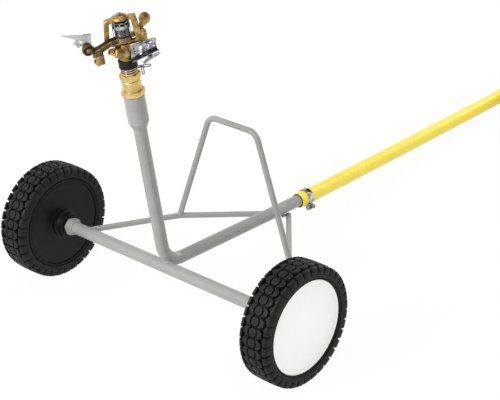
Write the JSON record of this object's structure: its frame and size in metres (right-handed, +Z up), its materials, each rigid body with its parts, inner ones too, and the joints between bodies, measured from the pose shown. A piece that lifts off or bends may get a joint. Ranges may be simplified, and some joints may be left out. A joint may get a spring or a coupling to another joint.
{
  "type": "sprinkler cart",
  "caption": "Two-wheeled garden cart of bent pipe with a carrying arch, a brass impact sprinkler on a leaning riser and a clamped lead hose coiled behind it.",
  "frame": {"origin": "on the ground, below the middle of the cart's box without the hose", "axes": "+X along the axle to the right-hand wheel, +Y to the rear where the hose leaves, +Z up"},
  "size_m": [0.61, 1.3495, 0.5642],
  "materials": {
    "grey_frame": "powder-coated, satin",
    "tyre_rubber": "matte",
    "black_plastic": "satin",
    "white_plastic": "gloss",
    "zinc_steel": "bright zinc plating",
    "brass": "turned and cast",
    "bronze": "cast and aged",
    "black_rubber": "matte",
    "hose_pvc": "satin",
    "nylon": "satin"
  },
  "bodies": {
    "cart": {"axle_tube": "grey_frame", "axle_end_left": "grey_frame", "axle_end_right": "grey_frame", "main_pipe": "grey_frame", "riser_socket": "grey_frame", "brace_left": "grey_frame", "brace_right": "grey_frame", "carry_arch": "grey_frame", "bolt_left": "zinc_steel", "bolt_right": "zinc_steel", "washer_left": "black_plastic", "washer_right": "black_plastic", "inlet_adapter": "brass", "bearing_nipple": "brass", "hose_cuff": "hose_pvc", "clamp_band": "zinc_steel", "clamp_housing": "zinc_steel", "hose_tube": "hose_pvc", "hose_coil": "hose_pvc", "coil_ties": "black_plastic", "hose_ferrule": "brass", "hose_tail": "brass", "tail_washer": "black_rubber"},
    "wheel_left": {"tyre_left": "tyre_rubber", "rim_left": "black_plastic", "cover_left": "white_plastic", "bush_left": "nylon"},
    "wheel_right": {"tyre_right": "tyre_rubber", "rim_right": "black_plastic", "cover_right": "white_plastic", "bush_right": "nylon"},
    "sprinkler": {"bearing_spring": "zinc_steel", "dust_sleeve": "black_rubber", "spindle": "brass", "sprinkler_body": "brass", "rear_plug": "brass", "nozzle": "brass", "fulcrum_pin": "zinc_steel", "spring_cap": "zinc_steel", "arm_spring": "zinc_steel", "trip_bracket": "zinc_steel", "trip_pin": "zinc_steel", "trip_spring": "zinc_steel", "trip_rivets": "zinc_steel"},
    "arm": {"drive_arm": "bronze", "deflector_screw": "zinc_steel"},
    "deflector": {"deflector": "zinc_steel"},
    "trip": {"trip_lever": "zinc_steel"},
    "collar_upper": {"collar_upper": "zinc_steel"},
    "collar_lower": {"collar_lower": "zinc_steel"},
    "clamp_screw": {"clamp_screw": "zinc_steel"},
    "swivel_nut": {"swivel_nut": "brass"}
  },
  "joints": [
    {"name": "wheel_left_spin", "type": "hinge", "parent": "cart", "child": "wheel_left", "pos_m": [-0.2775, -0.12546, 0.1], "axis": [1, 0, 0], "continuous": true},
    {"name": "wheel_right_spin", "type": "hinge", "parent": "cart", "child": "wheel_right", "pos_m": [0.2775, -0.12546, 0.1], "axis": [1, 0, 0], "continuous": true},
    {"name": "sprinkler_turn", "type": "hinge", "parent": "cart", "child": "sprinkler", "pos_m": [0, -0.15354, 0.48063], "axis": [0, -0.0715, 0.9974], "continuous": true},
    {"name": "arm_swing", "type": "hinge", "parent": "sprinkler", "child": "arm", "pos_m": [0, -0.15661, 0.52352], "axis": [0, -0.0715, 0.9974], "range_deg": [0, 70], "stiffness_Nm_per_rad": 0.02, "springref_deg": -8.59},
    {"name": "deflector_tilt", "type": "hinge", "parent": "arm", "child": "deflector", "pos_m": [-0.01984, -0.21094, 0.51912], "axis": [-0.9397, 0.3411, 0.0245], "range_deg": [-10, 25]},
    {"name": "trip_flip", "type": "hinge", "parent": "sprinkler", "child": "trip", "pos_m": [0.01094, -0.12404, 0.48976], "axis": [0.9397, -0.3411, -0.0245], "range_deg": [-8, 8]},
    {"name": "collar_upper_turn", "type": "hinge", "parent": "cart", "child": "collar_upper", "pos_m": [0, -0.15289, 0.47165], "axis": [0, -0.0715, 0.9974], "continuous": true},
    {"name": "collar_lower_turn", "type": "hinge", "parent": "cart", "child": "collar_lower", "pos_m": [0, -0.15263, 0.46796], "axis": [0, -0.0715, 0.9974], "continuous": true},
    {"name": "clamp_screw_turn", "type": "hinge", "parent": "cart", "child": "clamp_screw", "pos_m": [0.01147, 0.22414, 0.05012], "axis": [0.8192, 0.0649, 0.5699], "continuous": true},
    {"name": "swivel_nut_turn", "type": "hinge", "parent": "cart", "child": "swivel_nut", "pos_m": [0, 1.003, 0.0436], "axis": [0, 1, 0], "continuous": true}
  ]
}
